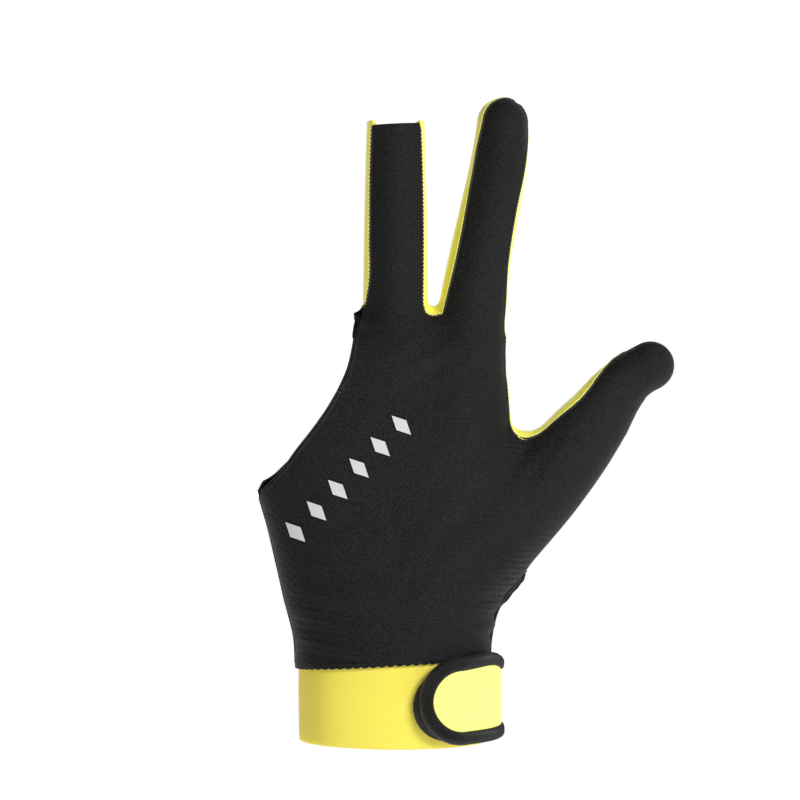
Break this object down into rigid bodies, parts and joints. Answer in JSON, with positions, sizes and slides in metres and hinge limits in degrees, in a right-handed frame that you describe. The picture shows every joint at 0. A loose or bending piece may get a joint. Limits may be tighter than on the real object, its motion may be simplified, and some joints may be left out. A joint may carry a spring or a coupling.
{
  "type": "billiard glove",
  "caption": "Billiard glove for the left hand, worn form: black stretch knit, yellow gussets and wristband, open middle fingertip, round strap tab",
  "frame": {"origin": "centre of the wrist opening, at the wristband's bottom edge, where the wearer's hand goes in", "axes": "+Z from the wrist to the fingertips, -Y out of the back of the hand, +X to the thumb side"},
  "size_m": [0.1296, 0.0485, 0.2002],
  "materials": {
    "back_panel": "matte black stretch knit",
    "palm_panel": "matte black stretch knit",
    "middle_outer_gusset": "smooth yellow stretch knit",
    "middle_index_gusset": "smooth yellow stretch knit",
    "index_thumb_gusset": "smooth yellow stretch knit",
    "wristband": "yellow knit over foam rubber",
    "closure_strap": "yellow loop fabric over foam rubber",
    "strap_binding": "black ribbed edge tape",
    "hook_patch": "black hook tape"
  },
  "bodies": {
    "root": {"back_panel": "back_panel", "palm_panel": "palm_panel", "middle_outer_gusset": "middle_outer_gusset", "middle_index_gusset": "middle_index_gusset", "index_thumb_gusset": "index_thumb_gusset", "wristband": "wristband", "closure_strap": "closure_strap", "strap_binding": "strap_binding", "hook_patch": "hook_patch"}
  },
  "joints": []
}
